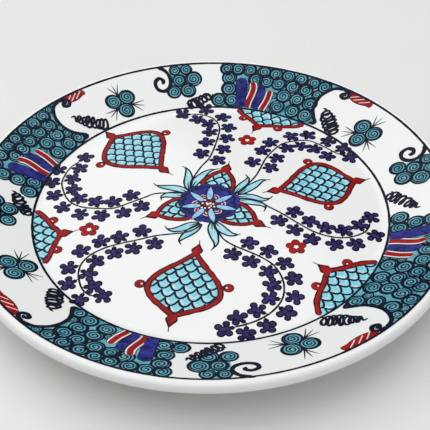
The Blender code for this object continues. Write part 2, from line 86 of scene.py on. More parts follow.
# Medallions: inner tip, direction, how wide each side is, and the curls on the two sides as (along, across).
MEDALLIONS = (
    ((43.0, 15.5), 11.0, (1.0, 0.86), ((26.0, 25.0), (26.2, -21.6))),
    ((-32.0, 39.6), 133.3, (0.95, 1.12), ((31.2, 25.4), (27.6, -28.6))),
    ((-8.7, -41.0), 255.4, (1.0, 0.92), ((22.4, 24.8), (30.6, -24.6))),
)
# One side of a medallion, from its inner tip to its outer one, as (along, across).
FLANK = ((0, 0), (4, 3.2), (9.5, 8), (15, 13.5), (21, 18.5), (28, 21.6), (34, 20.8), (39.5, 16), (43.7, 9.5),
         (47, 4), (49.5, 0))
# Half medallions at the well line, by inner tip and direction, with one side of them and their curls.
EDGE_MEDALLIONS = (((33.3, 86.7), 60.0), ((-90.4, -21.2), 192.0), ((66.8, -56.4), 313.5))
EDGE_FLANK = ((0, 0), (1.2, 3.4), (2.9, 6.2), (5.4, 11.4), (7.8, 17.2), (11.0, 22.4), (16, 27), (21, 30))
EDGE_CURLS = ((3.0, 13.4), (3.0, -13.4))
# Half medallions behind the rosette, by direction, with one side of them.
CENTRE_MEDALLIONS = (71.5, 197.7, 326.0)
CENTRE_FLANK = ((15, 9.7), (18, 9.8), (23, 8.6), (28.5, 5.6), (33.5, 0.6))
# One side of a spear knob, from the frame to its point.
KNOB = ((-1.0, 0), (-0.6, 1.6), (1.0, 3.1), (3.0, 3.5), (5.0, 2.2), (8.6, 0))
# Fish scales: how wide one is, and how far apart their rows lie.
SCALE_WIDTH = 7.6
SCALE_ROW = 5.2

# The rosette: its heart, the middle of its lobes, the tips of its light petals, and the red hooks between
# them as (radius, turn).
ROSETTE = (-1.2, 1.6)
CROWN = (-0.9, 4.0)
PETAL_TIPS = ((0.3, 19.0), (13.8, 10.4), (15.8, -3.4), (1.9, -15.0), (-11.9, -11.8), (-18.2, 0.2),
              (-12.8, 14.2))
HOOK_POINTS = ((7.2, -12), (9.0, -2), (9.4, 10), (8.0, 15))
# The leaves, each from base to curled tip.
LEAVES = (
    ((-13.7, 16), (-14.3, 23.3), (-14, 30), (-14.7, 36), (-16.3, 39.7), (-18.8, 40.7)),
    ((-12.3, 16.7), (-10, 23.3), (-6.7, 28.7), (-2, 34.7), (2.7, 37), (6.7, 37.8)),
    ((14.7, 12), (18.7, 18), (22.3, 23.3), (24, 28), (22.3, 31.7)),
    ((17.3, 11.3), (23.3, 16.7), (28, 20.7), (32.7, 25), (38.7, 26)),
    ((14.7, 9.3), (20.7, 9.3), (26.7, 8.3), (32.7, 6.3), (37.3, 7.7), (38.7, 10.1)),
    ((15.7, 7.3), (20.7, 5.3), (26, 4), (30.7, 2.3), (33.7, -1), (32.3, -5.3)),
    ((1, -13.3), (0.7, -19.7), (2, -26.7), (3, -32), (2, -36), (-0.3, -39)),
    ((2.3, -13.7), (4.7, -18.0), (8, -22.3), (12, -25.3), (16, -25.6), (18, -24.7)),
    ((-6.7, -14.7), (-12.7, -17), (-18, -19.7), (-23.3, -20.7), (-26.7, -19), (-27.3, -16.7)),
    ((-5.7, -15.7), (-10, -20.5), (-14, -24.4), (-17.3, -28), (-18.7, -31), (-17.3, -33.7)),
    ((-12.7, 12.7), (-18, 16.7), (-23.3, 18.7), (-30, 20), (-34.7, 22), (-36.3, 24.3)),
    ((-14.7, 10.7), (-20, 11.3), (-24.7, 12), (-28.7, 11.3), (-30.7, 9.3), (-30.7, 6.3)),
)
LEAF_WIDTH = 5.2

# Blossom sprigs: each stem, and how far along it the first blossom stands on its right and on its left.
SPRIGS = (
    (((-13, 18), (-12.4, 25), (-10, 31), (-6, 40), (-0.7, 49.3), (2.5, 60), (4.7, 70), (6.3, 80), (6, 88),
      (3.3, 94), (-1, 98.5), (-7.3, 101.2), (-14, 101.6)), 31.5, 35.5),
    (((15.5, 12), (22.4, 20), (28.7, 29.3), (32.7, 38.7), (37, 49.5), (44.8, 61.2), (50.4, 66), (60, 68.8),
      (68, 68), (77.6, 60.4), (82.4, 55.6), (88, 52)), 30.5, 33.5),
    (((15.5, 8.5), (24, 6.4), (31.3, 3.3), (36.7, -1.3), (43.3, -6.7), (52, -15), (61.6, -23.2),
      (70.4, -27.2), (78.4, -28.4), (85.6, -26.8), (92, -23.2), (95.2, -18.4), (96.4, -14.4)), 31.8, 33.8),
    (((1.5, -15.5), (2.6, -20), (5, -24.7), (8, -30), (14, -35.3), (20.7, -39.3), (28, -44), (34.8, -50),
      (38.8, -57.2), (40.8, -66), (40, -74.8), (37.2, -81.2), (32, -87.5), (25, -92.5), (18, -95.5),
      (11.5, -97.3)), 23.8, 27.8),
    (((-6, -17.5), (-14, -22.7), (-24.7, -24.3), (-33, -25.5), (-44, -28.8), (-52.8, -31.2), (-61.6, -34.4),
      (-69.6, -39.6), (-74.4, -46), (-76, -53.2), (-75.2, -59.6), (-72.8, -66.8), (-68.6, -71.6),
      (-65.0, -72.6)), 32.5, 28.5),
    (((-13.5, 12), (-20, 13.6), (-27.3, 14), (-35.3, 13.3), (-41.3, 10), (-50, 5.3), (-60, 0.5),
      (-69.8, 0.9), (-78.6, 2.3), (-86, 6.4), (-90.4, 12.2), (-93.3, 19.6), (-95.1, 27.6), (-94, 35),
      (-91.2, 43), (-85.5, 50)), 32.0, 31.0),
)
# Blossoms: how far apart they stand on a track beside the stem, how far out that track runs, how much larger
# than their lobes' own sizes they are, how long their necks are, and how far forward they lean. A lobe is
# (along, across, radius).
BLOSSOM_SPACING = 12.4
BLOSSOM_TRACK = 3.5
BLOSSOM_SIZE = 1.06
BLOSSOM_REACH = 2.2
BLOSSOM_LEAN = 22.0
BLOSSOM_LOBES = ((0.6, 0.2, 1.5), (3.0, 3.2, 2.15), (2.7, -3.1, 2.1), (3.4, 0, 2.4), (6.9, 2.3, 2.15),
                 (7.2, -2.2, 2.1), (5.6, 0, 2.2))
# The centres of the small red flowers.
FLOWERS = ((25, 69.2), (-73.3, -18.3), (50, -36.3))

# Painted colours: the record's slot, the colour where it pools and where it thins, and the grain per metre.
PIGMENTS = {
    "navy": ("black_line", (0.0015, 0.002, 0.008), (0.006, 0.009, 0.028), 300.0),
    "red": ("tomato_red", (0.22, 0.004, 0.004), (0.43, 0.009, 0.007), 200.0),
    "dark_red": ("tomato_red", (0.03, 0.002, 0.004), (0.09, 0.005, 0.007), 300.0),
    "turquoise": ("turquoise", (0.08, 0.52, 0.67), (0.22, 0.76, 0.88), 170.0),
    "cobalt": ("cobalt_blue", (0.004, 0.004, 0.05), (0.035, 0.038, 0.31), 210.0),
    "pale_blue": ("cobalt_blue", (0.20, 0.45, 0.72), (0.42, 0.72, 0.88), 240.0),
    "violet": ("violet_navy", (0.012, 0.009, 0.06), (0.045, 0.033, 0.21), 330.0),
    "aqua": ("aqua_leaf", (0.24, 0.60, 0.70), (0.50, 0.80, 0.86), 190.0),
    "teal": ("teal_scroll", (0.045, 0.26, 0.34), (0.18, 0.48, 0.57), 150.0),
    "white": ("white_glaze", (0.70, 0.72, 0.72), (0.84, 0.85, 0.84), 200.0),
}

# The rim's four rounds: directions of the bars and of the panel's spur, the ends of the long scribble and of
# the short one, and the directions of the trefoil and of the cloud.
RIM_ROUNDS = (
    (75.0, 50.6, ((83.2, 74), (79.2, 95.6)), ((110.4, 9.6), (125.6, -8.8)), 33.2, 10.6),
    (341.1, 310.5, ((58.8, -95.6), (81.2, -100.4)), ((5.9, -111.4), (-12.3, -125.4)), 291.2, 270.6),
    (250.1, 228.0, ((-87.2, -69.2), (-85.6, -89.2)), ((-111.6, -5.4), (-122.7, 11.5)), 206.6, 183.4),
    (160.4, 138.1, ((-70, 86.2), (-93.5, 87.7)), ((-15.4, 109.7), (1.5, 118.5)), 119.8, 98.4),
)
# Rows of scrolls in a panel: a radius, and directions from the bars.
SCROLL_ROWS = (
    (140.0, (9.8, 6.4, 2.9, -1.4, -4.9, -8.7, -12.8, -16.8, -21.6)),
    (132.8, (8.8, 0.6, -2.8, -6.8, -11.5, -15.6, -20.2)),
    (124.0, (8.7, -9.8, -14.6, -19.2)),
    (114.9, (11.8, 7.3, -9.2, -15.0, -19.9)),
)
SCROLL_RADIUS = 5.0
# The bars from the well line out, as (radius, direction from the bars' own), each with its width and colour.
BARS = (
    (((110, 3.5), (116, 3.9), (122, 4.3), (128, 4.7), (133.6, 4.9)), 7.0, "cobalt"),
    (((110, 1.5), (115.2, 1.3), (120.3, 0.8), (126, 0.6), (130.8, 1.4)), 3.5, "red"),
    (((110, -1.2), (115, -1.6), (120.6, -2.0), (125, -2.0), (129.2, -1.8)), 4.8, "cobalt"),
    (((110, -4.0), (114, -4.5), (118, -4.9), (122, -5.0), (126.2, -4.9)), 3.3, "red"),
)
# The spur and its dark scroll, and the finial beyond it, as (radius, direction from the spur's own).
SPUR = ((110.6, 1.8), (112.6, -0.3), (116.5, 1.6), (121.9, 3.3), (129.9, 3.7), (136.2, 2.8), (141.4, 1.0),
        (143.4, -1.4))
SPUR_SCROLL = ((143.4, -1.4), (142.6, -3.2), (139.8, -4.1), (137.2, -3.1), (138.4, -1.8), (140.4, -2.4),
               (139.2, -3.2))
FINIAL = ((141.9, -3.4), (141.3, -6.4), (141.2, -9.4), (141.8, -12.4))
# The finial's white stripes, by direction, and how long each round's finial is as a share of this one.
FINIAL_STRIPES = (-5.6, -7.6, -9.6)
FINIAL_REACHES = (0.95, 1.05, 1.1, 0.8)
# The cloud's scrolls as (out, anticlockwise, radius), and its ground and its hook as (out, anticlockwise),
# about its direction. The four hooks differ in how far in and how far round they reach from their corner.
CLOUD = ((122.8, 7.4, 4.8), (123.0, -2.8, 5.2), (131.6, 2.4, 4.6), (131.8, -7.8, 5.7), (140.0, 4.8, 3.8),
         (139.8, -3.6, 4.0))
CLOUD_GROUND = ((143.6, 8.0), (137, 8.6), (126, 8.0), (122, 2.0), (124, -4.0), (132, -9.0), (143.8, -5.0))
HOOK = ((143.8, 18.0), (141.2, 12.0), (136.0, 8.8), (130.4, 10.0), (127.8, 14.4), (129.4, 18.8),
        (133.6, 19.8), (136.2, 16.8), (134.6, 14.0), (132.2, 14.8))
HOOK_CORNER = (143.8, 8.8)
HOOK_SIZES = ((1.0, 1.0), (0.85, 1.2), (1.0, 1.0), (1.25, 1.0))
# The trefoil's middle, the size of its scrolls, and a whisker as (radius, share of its spread).
TREFOIL_RADIUS = 123.4
TREFOIL_SCROLL = 5.3
WHISKER = ((5.0, 0.0), (8.5, 0.4), (15.5, 1.0))


# ---- places and lines


def reach(origin, radius, degrees):
    """The point at a radius and a direction from the origin."""
    return (origin[0] + radius * math.cos(math.radians(degrees)),
            origin[1] + radius * math.sin(math.radians(degrees)))


def polar(radius, degrees):
    """The point at a radius and a direction from the plate's axis."""
    return reach((0, 0), radius, degrees)


def rim_points(points, direction):
    """Places from (radius, degrees) pairs that count from a direction."""
    return [polar(radius, direction + turn) for radius, turn in points]


def place(points, origin, degrees):
    """Points turned by the angle and moved to the origin."""
    c, s = math.cos(math.radians(degrees)), math.sin(math.radians(degrees))
    return [(origin[0] + c * u - s * v, origin[1] + s * u + c * v) for u, v in points]


def bearing(start, end):
    """The direction from start to end."""
    return math.degrees(math.atan2(end[1] - start[1], end[0] - start[0]))


def ring(centre, radius, start=0.0, turns=1.0, step=18.0):
    """Points round a circle, the first of them again at the end."""
    count = round(abs(turns) * 360 / step)
    return place([polar(radius, start + 360 * turns * i / count) for i in range(count + 1)], centre, 0.0)


def rim_arc(radius, start, end):
    """Points on a circle about the plate's axis."""
    count = max(1, math.ceil(abs(end - start) / 1.5))
    return [polar(radius, start + (end - start) * i / count) for i in range(count + 1)]


def smooth(points, step=0.8):
    """A curve through the points, cut about every step."""
    ends = [points[0], *points, points[-1]]
    curve = []
    for a, b, c, d in zip(ends, ends[1:], ends[2:], ends[3:]):
        pieces = max(1, math.ceil(math.dist(b, c) / step))
        for i in range(pieces):
            t = i / pieces
            weights = (
                -t + 2 * t ** 2 - t ** 3,
                2 - 5 * t ** 2 + 3 * t ** 3,
                t + 4 * t ** 2 - 3 * t ** 3,
                t ** 3 - t ** 2,
            )
            curve.append(tuple(sum(w * u for w, u in zip(weights, axis)) / 2 for axis in zip(a, b, c, d)))
    return [*curve, points[-1]]


def lengths(path):
    """How far along the path each of its points lies."""
    along = [0.0]
    for a, b in zip(path, path[1:]):
        along.append(along[-1] + math.dist(a, b))
    return along


def sideways(path):
    """The unit step to the left of the path at each of its points."""
    steps = []
    for before, after in zip([path[0], *path], [*path[1:], path[-1]]):
        u, v = after[0] - before[0], after[1] - before[1]
        length = math.hypot(u, v) or 1.0
        steps.append((-v / length, u / length))
    return steps


def beside(path, distance):
    """The path moved this far to its left."""
    return [(x + nx * distance, y + ny * distance) for (x, y), (nx, ny) in zip(path, sideways(path))]


def at_length(path, along, due):
    """The point and the direction of the path where its length, told point by point in along, is due."""
    i = next(i for i in range(1, len(path)) if along[i] >= due or i == len(path) - 1)
    t = (due - along[i - 1]) / (along[i] - along[i - 1])
    point = tuple(p + (q - p) * t for p, q in zip(path[i - 1], path[i]))
    return point, bearing(path[i - 1], path[i])


def blade(path, width, fullness=0.9, low=0.0):
    """A closed outline about the path: widest near its middle, and pointed, or low wide, at its ends."""
    along = lengths(path)
    swells = [math.sin(math.pi * (s / along[-1]) ** fullness) ** 0.8 for s in along[1:-1]]
    halves = [width / 2 * max(low, swell) for swell in swells]
    inner = list(zip(path[1:-1], sideways(path)[1:-1], halves))
    right = [(x - nx * h, y - ny * h) for (x, y), (nx, ny), h in inner]
    left = [(x + nx * h, y + ny * h) for (x, y), (nx, ny), h in inner]
    return [path[0], *right, path[-1], *left[::-1]]


def bar(path, width):
    """A closed outline of even width about the path, square at its start and round at its end."""
    along = lengths(path)
    half = width / 2
    rounding = [max(0.0, 1 - (along[-1] - s) / half) for s in along]
    halves = [math.sqrt(1 - share ** 2) * half for share in rounding]
    across = sideways(path)
    right = [(x - nx * h, y - ny * h) for (x, y), (nx, ny), h in zip(path, across, halves)]
    left = [(x + nx * h, y + ny * h) for (x, y), (nx, ny), h in zip(path, across, halves)]
    return [*right, *left[-2::-1]]


def inside(point, outline):
    """Whether the point lies inside the closed outline."""
    x, y = point
    crossings = 0
    for (x0, y0), (x1, y1) in zip(outline, [*outline[1:], outline[0]]):
        if (y0 > y) != (y1 > y) and x < x0 + (x1 - x0) * (y - y0) / (y1 - y0):
            crossings += 1
    return crossings % 2 == 1


def runs(path, keep):
    """The stretches of the path whose points are all kept."""
    stretches, stretch = [], []
    for point in path:
        if keep(point):
            stretch.append(point)
        elif stretch:
            stretches.append(stretch)
            stretch = []
    return [s for s in [*stretches, stretch] if len(s) > 2]


# ---- the surface that carries the paint


def glaze_height(radius):
    """The height of the glaze on the face: floor that rises to its middle, round corner, straight rim."""
    run = max(0.0, radius - CORNER_START)
    turned = min(run, CORNER_ROUND * math.sin(RIM_SLOPE))
    corner = CORNER_ROUND - math.sqrt(CORNER_ROUND ** 2 - turned ** 2)
    rise = FLOOR_RISE * max(0.0, 1 - (radius / CORNER_START) ** 2)
    return FLOOR + rise + corner + (run - turned) * math.tan(RIM_SLOPE)


def warp(x, y):
    """How far the rim stands high or low here, as on thrown and fired ware: its front has risen."""
    lift = max(0.0, math.hypot(x, y) - 95.0) / 55.0
    turn = math.atan2(y, x)
    front = max(0.0, -math.sin(turn))
    return lift ** 2 * (1.2 * front ** 2 + 0.12 * math.sin(3 * turn + 2.1))


def on_glaze(x, y, lift):
    """The point this far above the glaze, in metres."""
    return (x * MM, y * MM, (glaze_height(math.hypot(x, y)) + warp(x, y) + lift) * MM)


# ---- paint


class Paint:
    """One painted motif: its washes and strokes, gathered by colour until piece() makes the meshes."""

    def __init__(self):
        self.colours = {}

    def add(self, points, faces, colour):
        all_points, all_faces = self.colours.setdefault(colour, ([], []))
        start = len(all_points)
        all_points += points
        all_faces += [tuple(start + i for i in face) for face in faces]

    def wash(self, outline, colour, level=WASH):
        """A thin patch of colour inside the outline."""
        corners = [Vector(point) for point in [*outline, *lattice(outline)]]
        edges = [(i, (i + 1) % len(outline)) for i in range(len(outline))]
        flat, _, tops = geometry.delaunay_2d_cdt(corners, edges, [], 1, 0.001)[:3]
        used = {old: new for new, old in enumerate(sorted({i for top in tops for i in top}))}
        tops = [tuple(used[i] for i in top) for top in tops]
        count = len(used)
        points = [on_glaze(*flat[old], level - depth) for depth in (0.0, KEEL + WASH) for old in used]
        rims = {(a, b) for top in tops for a, b in zip(top, top[1:] + top[:1])}
        walls = [(b, a, a + count, b + count) for a, b in sorted(rims) if (b, a) not in rims]
        under = [tuple(i + count for i in top[::-1]) for top in tops]
        self.add(points, tops + under + walls, colour)

    def dab(self, centre, radius, colour, level=WASH):
        """A small round touch of the brush."""
        self.wash(ring(centre, radius, step=30 if radius > 1.2 else 45)[:-1], colour, level)

    def stroke(self, path, width, colour, level=LINE, start=0.7, end=0.7, rise=RISE):
        """A brushed line, domed across, which grows to its width over its start and thins over its end."""
        along = lengths(path)
        points = []
        for (x, y), (nx, ny), s in zip(path, sideways(path), along):
            growth = min(1.0, 0.04 + s / start, 0.04 + (along[-1] - s) / end)
            wobble = 0.2 * noise.noise(Vector((x * 0.3, y * 0.3, width)))
            half = width / 2 * math.sqrt(growth) * (1 + wobble)
            points.append(on_glaze(x - nx * half, y - ny * half, level))
            points.append(on_glaze(x, y, level + rise * growth))
            points.append(on_glaze(x + nx * half, y + ny * half, level))
            points.append(on_glaze(x, y, level - KEEL))
        last = 4 * (len(path) - 1)
        faces = [(i + b + 4, i + a + 4, i + a, i + b)
                 for i in range(0, last, 4) for a, b in ((0, 3), (3, 2), (2, 1), (1, 0))]
        caps = [(1, 2, 3, 0), (last, last + 3, last + 2, last + 1)]
        self.add(points, faces + caps, colour)

    def piece(self, name, *nodes):
        """One mesh for each colour of the motif, all standing for these CAD nodes."""
        for colour, (points, faces) in self.colours.items():
            mesh = bpy.data.meshes.new(f"{name}_{colour}")
            mesh.from_pydata(points, [], faces)
            mesh.set_sharp_from_angle(angle=math.radians(50))
            mesh.materials.append(bpy.data.materials[colour])
            shown(mesh, nodes)


def lattice(outline):
    """Points spread evenly over the outline's box, so that a wash follows the curved ware."""
    (x0, x1), (y0, y1) = ((min(values), max(values)) for values in zip(*outline))
    step = 2.2 if max(math.hypot(*point) for point in outline) > CORNER_START else 5.6
    across, up = int((x1 - x0) / step), int((y1 - y0) / step)
    return [(x0 + (i + 0.5) * step, y0 + (j + 0.5) * step) for i in range(across) for j in range(up)]


def shown(mesh, nodes):
    """An object for the mesh that rides on the plate and stands for these CAD nodes."""
    thing = bpy.data.objects.new(mesh.name, mesh)
    bpy.context.scene.collection.objects.link(thing)
    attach(thing, "root")
    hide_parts(*nodes)


# ---- ware


def turned(name, outline, finish, slot, *nodes):
    """A smooth solid turned about the plate's axis. Its section ends on the axis, or closes as a loop."""
    points, rows = [], []
    for radius, height in outline:
        steps = TURNED_STEPS if radius > 0 else 1
        rows.append([len(points) + i * steps // TURNED_STEPS for i in range(TURNED_STEPS)])
        for i in range(steps):
            x, y = polar(radius, 360 * i / TURNED_STEPS)
            points.append((x * MM, y * MM, (height + warp(x, y)) * MM))
    faces = []
    loop = [] if outline[-1][0] == 0 else rows[:1]
    for upper, lower in zip(rows, rows[1:] + loop):
        for i in range(TURNED_STEPS):
            j = (i + 1) % TURNED_STEPS
            faces.append(tuple(dict.fromkeys((upper[i], lower[i], lower[j], upper[j]))))
    mesh = bpy.data.meshes.new(name)
    mesh.from_pydata(points, [], faces)
    mesh.polygons.foreach_set("use_smooth", [True] * len(faces))
    mesh.materials.append(bpy.data.materials[finish])
    shown(mesh, nodes)


def rounded(corners, steps=6):
    """A line through (radius, height, rounding) corners, each cut short by its rounding and curved."""
    line = []
    earlier = [corners[0], *corners]
    later = [*corners[1:], corners[-1]]
    for before, (r, z, rounding), after in zip(earlier, corners, later):
        if not rounding:
            line.append((r, z))
            continue
        start, end = ((Vector(c[:2]) - Vector((r, z))).normalized() * rounding for c in (before, after))
        for i in range(steps + 1):
            t = i / steps
            bend = start * (1 - t) ** 2 + end * t ** 2
            line.append((r + bend.x, z + bend.y))
    return line


def ware_section():
    """The glazed surface from the middle of the face, over the lip and round the foot, to the axis."""
    corner_end = CORNER_START + CORNER_ROUND * math.sin(RIM_SLOPE)
    top, bottom = 90 + math.degrees(RIM_SLOPE), math.degrees(RIM_SLOPE) - 90
    lip = [reach(LIP_CENTRE, LIP_ROUND, top + (bottom - top) * i / 16) for i in range(17)]
    radii = [*range(0, 100, 5), *(CORNER_START + (corner_end - CORNER_START) * i / 10 for i in range(11)),
             *(corner_end + (lip[0][0] - corner_end) * i / 8 for i in range(1, 8))]
    face = [(r, glaze_height(r)) for r in radii]
    under_r, under_z = lip[-1]
    belly_corner = under_r - (under_z - BELLY) / math.tan(RIM_SLOPE)
    foot = FOOT_OUTER + 1.0
    inner = FOOT_OUTER - FOOT_WIDTH - 1.0
    back = rounded([
        (under_r - 4, under_z - 4 * math.tan(RIM_SLOPE), 0),
        (belly_corner, BELLY, 7.0),
        (foot, BELLY, 1.8),
        (foot - 0.9, BARE_EDGE, 1.2),
        (inner + 0.9, BARE_EDGE, 1.2),
        (inner, BELLY, 1.8),
        (40, BELLY, 0),
        (0, BELLY, 0),
    ])
    return face + lip + back


def foot_section():
    """The bare clay at the bottom of the foot ring, rubbed smooth where it stands."""
    outer = FOOT_OUTER - 0.7
    inner = FOOT_OUTER - FOOT_WIDTH + 0.7
    return rounded([
        (outer - 0.2, 3.0, 0),
        (outer - 0.6, 0.0, 0.7),
        (inner + 0.6, 0.0, 0.7),
        (inner + 0.2, 3.0, 0),
    ])


def add_ware():
    turned("glazed_ware", ware_section(), "white_glaze", "white_glaze",
           "body", "face_glaze", "back_glaze", "foot_well_glaze")
    turned("bare_foot", foot_section(), "fired_clay", "fired_clay", "foot_ring")


# ---- finishes


def nodes_of(name):
    """A new node material, with its shader and the place on the object as its texture coordinate."""
    finish = bpy.data.materials.new(name)
    finish.use_nodes = True
    tree = finish.node_tree
    return tree, tree.nodes["Principled BSDF"], tree.nodes.new("ShaderNodeTexCoord").outputs["Object"]


def noise_node(tree, where, scale, detail):
    """Soft noise at a scale per metre."""
    texture = tree.nodes.new("ShaderNodeTexNoise")
    texture.inputs["Scale"].default_value = scale
    texture.inputs["Detail"].default_value = detail
    tree.links.new(where, texture.inputs["Vector"])
    return texture.outputs["Fac"]


def ramp(tree, value, stops):
    """A colour from a value, by (position, colour) stops."""
    node = tree.nodes.new("ShaderNodeValToRGB")
    elements = node.color_ramp.elements
    while len(elements) < len(stops):
        elements.new(0.5)
    for element, (position, colour) in zip(elements, stops):
        element.position = position
        element.color = (*colour, 1.0)
    tree.links.new(value, node.inputs["Fac"])
    return node.outputs["Color"]


def bump(tree, shader, value, strength, distance):
    """Relief on the surface from a value."""
    node = tree.nodes.new("ShaderNodeBump")
    node.inputs["Strength"].default_value = strength
    node.inputs["Distance"].default_value = distance
    tree.links.new(value, node.inputs["Height"])
    tree.links.new(node.outputs["Normal"], shader.inputs["Normal"])


def pigment(name, dark, light, scale):
    """Brushed colour under a clear glaze: it pools darker and thins lighter."""
    tree, shader, where = nodes_of(name)
    cloud = noise_node(tree, where, scale, 4.0)
    tree.links.new(ramp(tree, cloud, ((0.3, dark), (0.7, light))), shader.inputs["Base Color"])
    rough = tree.nodes.new("ShaderNodeMapRange")
    rough.inputs["To Min"].default_value = 0.2
    rough.inputs["To Max"].default_value = 0.35
    tree.links.new(cloud, rough.inputs["Value"])
    tree.links.new(rough.outputs["Result"], shader.inputs["Roughness"])
    shader.inputs["Coat Weight"].default_value = 0.05
    shader.inputs["Coat Roughness"].default_value = 0.06
    shader.inputs["Specular IOR Level"].default_value = 0.06
    bump(tree, shader, cloud, 0.08, 0.0002)


def white_glaze():
    """Tin-white glaze: a faint cool cast that drifts, tiny specks, and slight waves of a dipped coat."""
    tree, shader, where = nodes_of("white_glaze")
    drift = noise_node(tree, where, 14.0, 2.0)
    tint = ramp(tree, drift, ((0.35, (0.80, 0.82, 0.81)), (0.65, (0.86, 0.86, 0.845))))
    specks = noise_node(tree, where, 900.0, 1.0)
    mark = ramp(tree, specks, ((0.76, (0, 0, 0)), (0.80, (1, 1, 1))))
    mix = tree.nodes.new("ShaderNodeMix")
    mix.data_type = "RGBA"
    mix.inputs["B"].default_value = (0.62, 0.60, 0.55, 1.0)
    tree.links.new(mark, mix.inputs["Factor"])
    tree.links.new(tint, mix.inputs["A"])
    tree.links.new(mix.outputs["Result"], shader.inputs["Base Color"])
    shader.inputs["Roughness"].default_value = 0.25
    shader.inputs["Coat Weight"].default_value = 0.3
    shader.inputs["Specular IOR Level"].default_value = 0.35
    shader.inputs["Coat Roughness"].default_value = 0.05
    bump(tree, shader, noise_node(tree, where, 90.0, 2.0), 0.12, 0.0003)


def fired_clay():
    """Bare pale clay with a sandy grain and darker rubbed patches."""
    tree, shader, where = nodes_of("fired_clay")
    grain = noise_node(tree, where, 1400.0, 5.0)
    patches = noise_node(tree, where, 60.0, 3.0)
    tree.links.new(ramp(tree, patches, ((0.3, (0.52, 0.42, 0.32)), (0.7, (0.72, 0.62, 0.50)))),
                   shader.inputs["Base Color"])
    shader.inputs["Roughness"].default_value = 0.85
    bump(tree, shader, grain, 0.5, 0.0003)


def add_finishes():
    white_glaze()
    fired_clay()
    for name, (_, dark, light, scale) in PIGMENTS.items():
        pigment(name, dark, light, scale)


# ---- motifs in the well


def scales(paint, field, origin, direction):
    """A field of fish scales: rows of arcs that bulge along the direction, staggered row by row."""
    paint.wash(field, "turquoise")
    for row in range(-1, 12):
        for column in range(-6, 7):
            u, v = row * SCALE_ROW, (column + 0.5 * (row % 2)) * SCALE_WIDTH
            wander = 0.9 * noise.noise(Vector((u, v, direction)))
            arc = [(u + wander + SCALE_ROW * (1 - t ** 2) ** 0.6, v + SCALE_WIDTH / 2 * t)
                   for t in (i / 8 for i in range(-8, 9))]
            # The aqua band is painted light: each scale is drawn lighter across its middle than at its arcs.
            light = [(u + wander + SCALE_ROW * (0.55 - 0.5 * t ** 2), v + SCALE_WIDTH * 0.36 * t)
                     for t in (i / 6 for i in range(-6, 7))]
            # The white glint is a painted highlight on one side of each scale, partly white glaze left bare
            # where the wash misses.
            glint = [(along + 0.15 * SCALE_ROW, across) for along, across in light[:7]]
            for line, width, level, colour in (
                (arc, OUTLINE, LINE, "navy"),
                (light, 1.4, WASH + 0.02, "aqua"),
                (glint, 0.5 + wander, LINE, "white"),
            ):
                for run in runs(place(line, origin, direction), lambda point: inside(point, field)):
                    paint.stroke(run, width, colour, level, start=0.4, end=0.4, rise=0.02)


def red_line(paint, path, width=FRAME, start=1.0, end=1.0):
    """A thick red line with a thin dark edge."""
    paint.stroke(path, width + 1.2, "dark_red", LINE + 0.02, start, end, 0.06)
    paint.stroke(path, width - 0.5, "red", LINE + 0.05, start, end, 0.16)


def curl(paint, centre, towards):
    """A round red curl with a white fleck on its inner side: a painted highlight, and white glaze showing in
    the curl.
    """
    turn = bearing(centre, towards)
    paint.stroke(smooth([reach(centre, 1.5, turn), reach(centre, 5.5, turn)]), 2.4, "dark_red")
    paint.dab(centre, 3.3, "dark_red", WASH + 0.04)
    paint.stroke(ring(centre, 1.7, turn + 30, 0.85), 2.2, "red", LINE + 0.05, rise=0.15)
    # The white fleck is a painted highlight on the red, and white glaze showing inside the curl.
    paint.dab(reach(centre, 1.0, turn), 0.75, "white", WASH + 0.06)


def spear(paint, tip, direction):
    """The spear knob on a medallion's tip, drawn out to a thin point."""
    side = smooth(KNOB)
    for shrink, colour, level in ((1.0, "dark_red", WASH + 0.04), (0.74, "red", WASH + 0.14)):
        half = [(u * shrink, v * shrink) for u, v in side]
        outline = half + [(u, -v) for u, v in half[-2:0:-1]]
        paint.wash(place(outline, tip, direction), colour, level)
    paint.stroke(place([(6.5, 0), (9.4, 0.3), (11.4, 0.8)], tip, direction), 0.8, "dark_red", end=3.0)


def medallion(number, origin, direction, sides, curls):
    """A whole medallion: the scale field and the red frame with its knobs and curls."""
    left, right = ([(u, v * side * sign) for u, v in FLANK] for side, sign in zip(sides, (1, -1)))
    flanks = [smooth(place(half, origin, direction), 1.5) for half in (left, right)]
    field = flanks[1] + flanks[0][-2:0:-1]
    paint = Paint()
    scales(paint, field, origin, direction)
    paint.piece(f"medallion_scales_{number}", f"medallion_scales_{number}")
    paint = Paint()
    for flank in flanks:
        red_line(paint, flank)
    spear(paint, origin, direction + 180)
    length = FLANK[-1][0]
    spear(paint, reach(origin, length, direction), direction)
    middle = reach(origin, length / 2, direction)
    for at in place(curls, origin, direction):
        curl(paint, at, middle)
    paint.piece(f"medallion_frame_{number}", f"medallion_frame_{number}")


def edge_medallion(number, origin, direction):
    """A half medallion that grows inwards from the well line."""
    flanks = []
    for sign in (1, -1):
        half = smooth(place([(u, v * sign) for u, v in EDGE_FLANK], origin, direction), 1.5)
        flanks.append([point for point in half if math.hypot(*point) < WELL_LINE - 0.5])
    ends = [math.degrees(math.atan2(flank[-1][1], flank[-1][0])) for flank in flanks]
    start, end = ends[1], ends[0] + (360 if ends[0] < ends[1] else 0)
    field = flanks[1] + rim_arc(WELL_LINE - 0.3, start, end) + flanks[0][:0:-1]
    paint = Paint()
    scales(paint, field, origin, direction)
    for flank in flanks:
        red_line(paint, flank)
    spear(paint, origin, direction + 180)
    for at in place(EDGE_CURLS, origin, direction):
        curl(paint, at, reach(origin, 12, direction))
    paint.piece(f"edge_medallion_{number}", f"edge_medallion_{number}")


